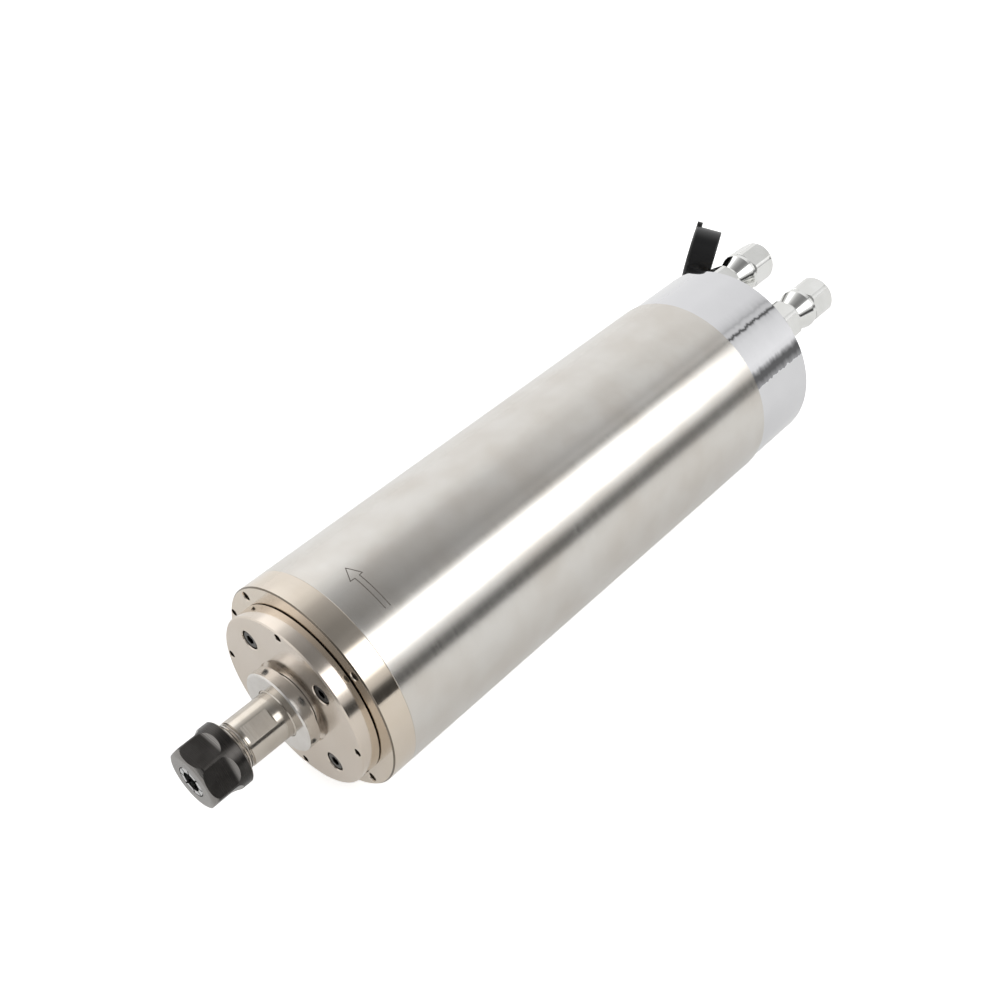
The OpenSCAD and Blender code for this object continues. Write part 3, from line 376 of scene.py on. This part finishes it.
# Warm champagne with clear-edged reflections on the rim, satin on the face
nickel = metal("ground_nickel_plate", "#DDD3C6", "#D8CCBC", 0.085,
               marks=(0.9, 0.0010, 0.20), cloud_mm=20.0, edge_mm=0.04, face_rough=0.17)
# The same tint, duller, with the fine rings of turning
turned_nickel = metal("turned_nickel_plate", "#DBD1C6", "#D5CABD", 0.135,
                      marks=(0.5, 0.0012, 0.20), cloud_mm=20.0, edge_mm=0.06, face_rough=0.21)
# Painted shade with some grime: a dark strip on the cover's back edge, where it meets the flange
paint_shade_and_grime_strip(turned_nickel, start_x=-88.10, end_x=-87.5, outside_r=26.0, hex_colour="#2A241E")
# Painted shade and reflection: a milder dark line on the outer edge of the flange's face, not at the
# joint
paint_shade_and_grime_strip(nickel, start_x=-88.0, end_x=-87.42, outside_r=32.10, hex_colour="#7A7166")
# Cool and almost a mirror, with the ragged edges that polishing gives long reflections
cap_chrome = metal("bright_chrome_plate", "#DDDDDF", "#D9D9DB", 0.025,
                   marks=(1.6, 0.0006, 0.20), cloud_mm=22.0, sway=(1.6, 5, 1.0))
# Bright facets on the sides and satin end faces
fitting_chrome = metal("mirror_chrome_on_brass", "#E9E9E7", "#E3E3E0", 0.12,
                       marks=(2.0, 0.0015, 0.20), cloud_mm=6.0, edge_mm=0.15, face_rough=0.35)
# Greyer and warmer than the collar beside it
tool_steel = metal("ground_tool_steel", "#CBC5BC", "#BEB6AB", 0.15,
                   marks=(0.35, 0.0016, 0.25), cloud_mm=9.0, edge_mm=0.05)
# Light silver with soft reflections
collar_steel = metal("satin_turned_steel", "#DDDAD6", "#D3CFCA", 0.16,
                     marks=(0.35, 0.0016, 0.25), cloud_mm=7.0, edge_mm=0.05)
# Near black with a soft sheen; the face is painted a lighter grey, a painted reflection of the table
oxide = metal("black_oxide_steel", "#454341", "#393735", 0.27,
              marks=(0.8, 0.0004, 0.10), cloud_mm=5.0, edge_mm=0.05, face_painted_reflection_hex="#8A8784")
# Dark grey that glints on the edges of the sockets
screw_steel = metal("black_oxide_screw", "#4A4845", "#3C3A38", 0.15,
                    marks=(0.6, 0.0010, 0.20), cloud_mm=3.0, edge_mm=0.05)
# Plain mid grey of hardened spring steel
collet_steel = metal("ground_spring_steel", "#C6C6C6", "#BBBBBA", 0.22,
                     marks=(0.4, 0.0012, 0.20), cloud_mm=5.0, edge_mm=0.05)
# Cold, bright and smooth, as bearing races are
bearing_steel = metal("polished_bearing_steel", "#E0E2E4", "#DADCDF", 0.07,
                      marks=(0.8, 0.0004, 0.10), cloud_mm=8.0)
# Pale and soft, with tool marks that show
aluminium = metal("machined_aluminium", "#D4D6D8", "#CBCDCF", 0.28,
                  marks=(0.3, 0.0030, 0.25), cloud_mm=12.0)
# Dull grey with deep, close lines, like the edges of a stack of sheets
laminations = metal("stacked_electrical_steel", "#8A8B8D", "#77787A", 0.42,
                    marks=(0.5, 0.0200, 0.30), cloud_mm=9.0)
# Pale and slightly rough, as cast
rotor_metal = metal("cast_aluminium_cage", "#CBCDCF", "#BEC0C2", 0.38,
                    marks=(1.2, 0.0060, 0.20), cloud_mm=4.0)
# Orange-brown with coarse ripples, for a bundle of wound wire
copper = metal("enamelled_copper_wire", "#B4622D", "#99481C", 0.30,
               marks=(0.9, 0.0300, 0.25), cloud_mm=3.0)
# Warm yellow for pins, cages and washers
brass = metal("machined_brass", "#C9A65A", "#BB954A", 0.20,
              marks=(0.4, 0.0020, 0.25), cloud_mm=5.0)
print("materials, with the frame's own:", len(bpy.data.materials))

# %% [markdown]
# ## Rubber and plastic
# Moulded rubber is near black, with a soft wide gloss and the very fine grain of the mould. The
# wires' silicone, the socket's moulded insert and the nylon clamping sleeves use the same recipe
# with other colours: a dielectric, so metallic stays at 0 and the IOR at its usual 1.5.

# %% Rubber and plastics
MOULD_CLOUD_MM = 4


def moulded(name, light_hex, deep_hex, rough, grain_mm, grain_depth_mm, edge_mm=0.0):
    material = bpy.data.materials.new(name)
    material.use_nodes = True
    tree = material.node_tree
    shader = tree.nodes["Principled BSDF"]
    here = place_on_object(tree)
    cloud = noise(tree, here, 1 / (MOULD_CLOUD_MM * MM), 4.0)
    tree.links.new(mix(tree, cloud, linear(light_hex), linear(deep_hex)), shader.inputs["Base Color"])
    dull = stretch(tree, cloud, 0.0, 1.0, rough * 0.9, rough * 1.1)
    tree.links.new(dull, shader.inputs["Roughness"])
    grain = noise(tree, here, 1 / (grain_mm * MM))
    bump = add(tree, "ShaderNodeBump", None,
               {"Strength": 1.0, "Distance": grain_depth_mm * MM, "Height": grain})
    if edge_mm:
        rounded = add(tree, "ShaderNodeBevel", {"samples": 8}, {"Radius": edge_mm * MM})
        tree.links.new(rounded.outputs[0], bump.inputs["Normal"])
    tree.links.new(bump.outputs[0], shader.inputs["Normal"])
    return material


# Near black, with rounded edges that catch a soft line of light
rubber = moulded("moulded_black_rubber", "#0D0D0F", "#09090B", 0.33,
                 grain_mm=0.35, grain_depth_mm=0.006, edge_mm=0.8)
# Charcoal and matt
seal_rubber = moulded("nitrile_seal_rubber", "#1E1E1E", "#171717", 0.38,
                      grain_mm=0.2, grain_depth_mm=0.004)
# Brick red and waxy
wire_silicone = moulded("red_silicone_insulation", "#A33327", "#8E2A20", 0.45,
                        grain_mm=0.3, grain_depth_mm=0.006)
# Dark grey with a little shine
phenolic = moulded("black_phenolic_moulding", "#2A2A2B", "#202021", 0.35,
                   grain_mm=0.3, grain_depth_mm=0.004)
# Creamy white
nylon = moulded("natural_nylon", "#E4DFD0", "#DAD4C3", 0.40, grain_mm=0.3, grain_depth_mm=0.005)
print("materials with rubber and plastic:", len(bpy.data.materials))

# %% [markdown]
# ## Finishes on the CAD solids
# A solid whose shape is right only needs its finish. Each name below is a solid of the frame.

# %% Assign finishes
FINISHES = {
    shell_steel: ["shell"],
    nickel: ["front_housing"],
    turned_nickel: ["front_cover"],
    cap_chrome: ["rear_cap"],
    fitting_chrome: ["supply_fitting", "return_fitting", "supply_nut", "return_nut", "socket_shell",
                     "socket_nut", "socket_thread", "fitting_threads"],
    tool_steel: ["shaft"],
    collar_steel: ["dust_collar", "nose_thread"],
    oxide: ["collet_nut"],
    screw_steel: ["rear_lock_nut", "front_cover_screws", "flange_screws", "rear_cap_screws"],
    collet_steel: ["collet", "preload_spring"],
    bearing_steel: ["front_outer_rings", "rear_outer_ring", "front_inner_rings", "rear_inner_ring",
                    "front_balls", "rear_balls"],
    aluminium: ["cooling_sleeve", "rear_housing", "rear_bearing_cover"],
    laminations: ["stator_core", "rotor_core"],
    rotor_metal: ["rotor_cage"],
    copper: ["stator_windings"],
    brass: ["socket_pins", "front_ball_cages", "rear_ball_cage", "fitting_washers"],
    rubber: ["dust_cap", "dust_cap_ring"],
    seal_rubber: ["sleeve_seals", "port_seals"],
    wire_silicone: ["lead_wires"],
    phenolic: ["socket_insert"],
    nylon: ["supply_sleeve", "return_sleeve"],
}
for finish, names in FINISHES.items():
    for name in names:
        for slot in solids[name].material_slots:
            slot.material = finish
print("finished solids:", sum(len(names) for names in FINISHES.values()))

# %% [markdown]
# ## Lofted rings
# A screw is a stack of rings: circles for the head and shank, hexagons for the socket. If every
# ring has the same number of points, neighbouring rings join with plain quads, and a hexagon's
# corners stay sharp as long as they fall on points.

# %% Ring lofting
SIDES = 48


def mesh_object(name, shape, finish):
    """Turns a bmesh into an object in the scene, with all its faces pointing outwards."""
    bmesh.ops.recalc_face_normals(shape, faces=shape.faces)
    mesh = bpy.data.meshes.new(name)
    shape.to_mesh(mesh)
    shape.free()
    mesh.materials.append(finish)
    piece = bpy.data.objects.new(name, mesh)
    bpy.context.scene.collection.objects.link(piece)
    return piece


def circle(x, radius):
    return [(x, radius * math.cos(a), radius * math.sin(a))
            for a in (2 * math.pi * i / SIDES for i in range(SIDES))]


def hexagon(x, across):
    points = []
    for i in range(SIDES):
        a = 2 * math.pi * i / SIDES
        radius = across / 2 / math.cos((a + math.pi / 6) % (math.pi / 3) - math.pi / 6)
        points.append((x, radius * math.cos(a), radius * math.sin(a)))
    return points


def loft(name, rings, material):
    """Joins the rings in order and closes both ends with a fan to their middles."""
    shape = bmesh.new()
    rows = [[shape.verts.new(Vector(p) * MM) for p in ring] for ring in rings]
    for near, far in zip(rows, rows[1:]):
        for i in range(SIDES):
            j = (i + 1) % SIDES
            shape.faces.new((near[i], near[j], far[j], far[i]))
    for ring, row in ((rings[0], rows[0]), (rings[-1], rows[-1])):
        middle = shape.verts.new(sum((Vector(p) for p in ring), Vector()) / SIDES * MM)
        for i in range(SIDES):
            shape.faces.new((row[i], row[(i + 1) % SIDES], middle))
    return mesh_object(name, shape, material)


def socket_screw(name, size, length, head=1.833, across=0.83):
    """One screw along X: its head's face is at 0 and its tip at +length. size is the shank's
    diameter; head and across are the head's and the socket's widths as shares of it."""
    head_r, shank_r, key = size * head / 2, size / 2, size * across
    rings = [
        # The socket from its drilled bottom to its bevelled mouth
        circle(size * 0.62, 0.02), hexagon(size * 0.5, key), hexagon(0.12, key), hexagon(0, key * 1.08),
        # The head's face and the round of its edge
        circle(0, head_r * 0.88), circle(head_r * 0.05, head_r * 0.96), circle(head_r * 0.14, head_r),
        # The head's side and underside
        circle(size * 0.97, head_r), circle(size, head_r * 0.97), circle(size, shank_r),
        # The shank and its bevelled tip
        circle(length - 0.3, shank_r), circle(length, shank_r * 0.8)]
    return loft(name, rings, screw_steel)


# %% [markdown]
# ## Geometry Nodes: a ring of screws
# Four screws sit on a circle. Geometry Nodes repeat one screw: a few points, moved onto the
# circle by their index, each carrying one instance with its own chance angle of the socket, as
# real screws stop where they are tight. The seed is fixed. The tree's inputs are named sizes, so
# the same tree serves the cover, the flange and the rear cap.

# %% Screw ring tree
def new_tree(name, sockets):
    tree = bpy.data.node_groups.new(name, "GeometryNodeTree")
    tree.interface.new_socket("Geometry", in_out="INPUT", socket_type="NodeSocketGeometry")
    for title, kind in sockets:
        tree.interface.new_socket(title, in_out="INPUT", socket_type=kind)
    tree.interface.new_socket("Geometry", in_out="OUTPUT", socket_type="NodeSocketGeometry")
    return tree, add(tree, "NodeGroupInput"), add(tree, "NodeGroupOutput")


def screw_ring_tree():
    tree, sizes, result = new_tree("ring_of_screws", [
        ("Count", "NodeSocketInt"), ("Circle radius", "NodeSocketFloat"),
        ("First turn", "NodeSocketFloat"), ("Station", "NodeSocketFloat"),
        ("Seed", "NodeSocketInt"), ("Finish", "NodeSocketMaterial")])
    count, radius = sizes.outputs["Count"], sizes.outputs["Circle radius"]
    step = math_node(tree, "DIVIDE", 2 * math.pi, count)
    index = add(tree, "GeometryNodeInputIndex").outputs[0]
    turn = math_node(tree, "MULTIPLY_ADD", index, step, sizes.outputs["First turn"])
    place = add(tree, "ShaderNodeCombineXYZ", None, {
        0: sizes.outputs["Station"],
        1: math_node(tree, "MULTIPLY", radius, math_node(tree, "COSINE", turn)),
        2: math_node(tree, "MULTIPLY", radius, math_node(tree, "SINE", turn))})
    points = add(tree, "GeometryNodePoints", None, {"Count": count, "Position": place.outputs[0]})
    chance = add(tree, "FunctionNodeRandomValue", {"data_type": "FLOAT"},
                 {2: 0.0, 3: math.pi / 3, "Seed": sizes.outputs["Seed"]})
    twist = add(tree, "ShaderNodeCombineXYZ", None, {0: chance.outputs[1]})
    screws = add(tree, "GeometryNodeInstanceOnPoints", None, {
        "Points": points.outputs[0], "Instance": sizes.outputs["Geometry"],
        "Rotation": twist.outputs[0]})
    solid = add(tree, "GeometryNodeRealizeInstances", None, {0: screws.outputs[0]})
    coated = add(tree, "GeometryNodeSetMaterial", None,
                 {"Geometry": solid.outputs[0], "Material": sizes.outputs["Finish"]})
    tree.links.new(coated.outputs[0], result.inputs[0])
    return tree


def grow(piece, tree, values):
    """Runs a tree on a piece, then keeps its result as a plain mesh."""
    modifier = piece.modifiers.new(tree.name, "NODES")
    modifier.node_group = tree
    for item in tree.interface.items_tree:
        if item.in_out == "INPUT" and item.name in values:
            modifier[item.identifier] = values[item.name]
    graph = bpy.context.evaluated_depsgraph_get()
    mesh = bpy.data.meshes.new_from_object(piece.evaluated_get(graph))
    piece.modifiers.clear()
    mesh.name = piece.name
    piece.data = mesh
    return piece


screw_ring = screw_ring_tree()


def fit_screws(name, size, length, circle_mm, first_degrees, station_mm, seed, flip=False, **shape):
    """Puts a ring of four screws in the place of a solid; flip turns the heads to the rear."""
    piece = socket_screw(name + "_with_sockets", size, length, **shape)
    if flip:
        piece.data.transform(Matrix.Rotation(math.pi, 4, "Z"))
    grow(piece, screw_ring, {
        "Count": 4, "Circle radius": circle_mm / 2 * MM, "First turn": math.radians(first_degrees),
        "Station": station_mm * MM, "Seed": seed, "Finish": screw_steel})
    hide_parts(name)
    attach(piece, "housing")
    print(piece.name, len(piece.data.polygons), "faces")
    return piece


# %% Fit the screws
# Stations along the axis of the faces that the screws' heads are sunk in
COVER_FACE, FLANGE_FACE, REAR_FACE = -94.0, -87.8, 106.0
fit_screws("front_cover_screws", size=3.0, length=17.6, circle_mm=40.0, first_degrees=45,
           station_mm=COVER_FACE + 0.3, seed=3)
fit_screws("flange_screws", size=2.5, length=13.7, circle_mm=60.0, first_degrees=45,
           station_mm=FLANGE_FACE + 1.0, seed=5, head=1.0, across=0.52)
fit_screws("rear_cap_screws", size=3.0, length=30.2, circle_mm=52.0, first_degrees=10,
           station_mm=REAR_FACE - 0.2, seed=7, flip=True)

# %% [markdown]
# ## Geometry Nodes: screw threads
# A thread is a ridge that climbs round a core. The Spiral node gives the path, and Curve to Mesh
# sweeps a small diamond along it, so half of the diamond stands out of the core as the ridge. The
# nose has a fine thread of 0.75 mm pitch, the socket and the two hose fittings have 1 mm.

# %% Thread tree
POINTS_PER_TURN = 56


def thread_tree():
    tree, sizes, result = new_tree("screw_thread", [
        ("Pitch", "NodeSocketFloat"), ("Crest radius", "NodeSocketFloat"),
        ("Length", "NodeSocketFloat"), ("Start", "NodeSocketVector"), ("Finish", "NodeSocketMaterial")])
    pitch, length = sizes.outputs["Pitch"], sizes.outputs["Length"]
    half = math_node(tree, "MULTIPLY", pitch, 0.5)
    radius = math_node(tree, "SUBTRACT", sizes.outputs["Crest radius"], half)
    climb = math_node(tree, "SUBTRACT", length, pitch)
    path = add(tree, "GeometryNodeCurveSpiral", None, {
        "Resolution": POINTS_PER_TURN, "Rotations": math_node(tree, "DIVIDE", climb, pitch),
        "Start Radius": radius, "End Radius": radius, "Height": climb})
    upright = add(tree, "GeometryNodeSetCurveNormal", None, {"Curve": path.outputs[0]})
    ridge = add(tree, "GeometryNodeCurvePrimitiveCircle", None, {"Resolution": 4, "Radius": half})
    swept = add(tree, "GeometryNodeCurveToMesh", None, {
        "Curve": upright.outputs[0], "Profile Curve": ridge.outputs[0], "Fill Caps": True})
    lift = add(tree, "ShaderNodeCombineXYZ", None, {2: half})
    raised = add(tree, "GeometryNodeTransform", None,
                 {"Geometry": swept.outputs[0], "Translation": lift.outputs[0]})
    laid = add(tree, "GeometryNodeTransform", None, {
        "Geometry": raised.outputs[0], "Translation": sizes.outputs["Start"],
        "Rotation": (0, math.pi / 2, 0)})
    flat = add(tree, "GeometryNodeSetShadeSmooth", None,
               {"Geometry": laid.outputs[0], "Shade Smooth": False})
    coated = add(tree, "GeometryNodeSetMaterial", None,
                 {"Geometry": flat.outputs[0], "Material": sizes.outputs["Finish"]})
    tree.links.new(coated.outputs[0], result.inputs[0])
    return tree


thread = thread_tree()


def cut_thread(name, node, body, finish, starts, length, pitch, crest_r):
    """One thread for each start point, joined into one piece that stands for a plain tube."""
    shape = bmesh.new()
    for start in starts:
        part = bpy.data.objects.new(name, bpy.data.meshes.new(name))
        bpy.context.scene.collection.objects.link(part)
        grow(part, thread, {
            "Pitch": pitch * MM, "Crest radius": crest_r * MM, "Length": length * MM,
            "Start": [c * MM for c in start], "Finish": finish})
        shape.from_mesh(part.data)
        bpy.data.objects.remove(part)
    piece = mesh_object(name, shape, finish)
    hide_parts(node)
    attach(piece, body)
    print(name, len(piece.data.polygons), "faces")
    return piece


# %% Cut the threads
def mount_axis(name):
    """The (y, z) in mm of a mount whose axis runs along X."""
    mount = next(m for m in frame["record"]["mounts"] if m["name"] == name)
    return tuple(c / MM for c in mount["pos_m"][1:])


fitting_axes = [mount_axis("hose_supply"), mount_axis("hose_return")]
cut_thread("nose_thread_ridges", node="nose_thread", body="rotor",
           finish=collar_steel, starts=[(-122.0, 0, 0)], length=9.6, pitch=0.75, crest_r=7.0)
cut_thread("socket_thread_ridges", node="socket_thread", body="housing",
           finish=fitting_chrome, starts=[(110.3, *mount_axis("power_socket"))],
           length=6.1, pitch=1.0, crest_r=8.0)
cut_thread("fitting_thread_ridges", node="fitting_threads", body="housing",
           finish=fitting_chrome, starts=[(122.9, *axis) for axis in fitting_axes],
           length=7.0, pitch=1.0, crest_r=5.0)

# %% [markdown]
# ## The direction arrow
# A laser has drawn an outline arrow on the shell that shows which way the rotor turns. The mark is
# a hair-thin line of darkened steel. Here each stroke is a thin flat bar, bent round the tube, that
# sits in it and stands a hundredth of a millimetre proud. The corners are given as a station along
# the axis and an angle round it.

# %% Direction arrow
ARROW_CORNERS = [
    (-70.6, 118.8), (-70.6, 98.6), (-72.1, 98.4), (-69.9, 91.0), (-67.9, 98.4), (-69.0, 98.6),
    (-69.0, 119.0)]
STROKE_WIDTH, STROKE_TOP, STROKE_BED, STROKE_STEP = 0.26, 0.012, -0.03, 0.6


def on_shell(point, height):
    turn, radius = point.y / SHELL_RADIUS, SHELL_RADIUS + height
    return Vector((point.x, radius * math.cos(turn), radius * math.sin(turn))) * MM


def draw_stroke(shape, start, end):
    """start and end are (x, arc length) on the unrolled shell, in mm."""
    along = (end - start).normalized()
    side = Vector((-along.y, along.x)) * STROKE_WIDTH / 2
    start, end = start - along * STROKE_WIDTH / 2, end + along * STROKE_WIDTH / 2
    steps = max(1, round((end - start).length / STROKE_STEP))
    rows = []
    for i in range(steps + 1):
        middle = start.lerp(end, i / steps)
        corners = [(middle - side, STROKE_TOP), (middle + side, STROKE_TOP),
                   (middle + side, STROKE_BED), (middle - side, STROKE_BED)]
        rows.append([shape.verts.new(on_shell(point, height)) for point, height in corners])
    for near, far in zip(rows, rows[1:]):
        for i in range(4):
            j = (i + 1) % 4
            shape.faces.new((near[i], near[j], far[j], far[i]))
    shape.faces.new(rows[0])
    shape.faces.new(rows[-1])


def draw_arrow():
    corners = [Vector((x, math.radians(turn) * SHELL_RADIUS)) for x, turn in ARROW_CORNERS]
    shape = bmesh.new()
    for start, end in zip(corners, corners[1:]):
        draw_stroke(shape, start, end)
    # Brown-grey and matt: a thin line that doesn't shine with the shell
    burnt_steel = moulded("laser_darkened_steel", "#6E6862", "#5A544E", 0.5,
                          grain_mm=0.4, grain_depth_mm=0.002)
    arrow = mesh_object("direction_arrow", shape, burnt_steel)
    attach(arrow, "housing")
    return arrow


print("arrow:", len(draw_arrow().data.polygons), "faces")
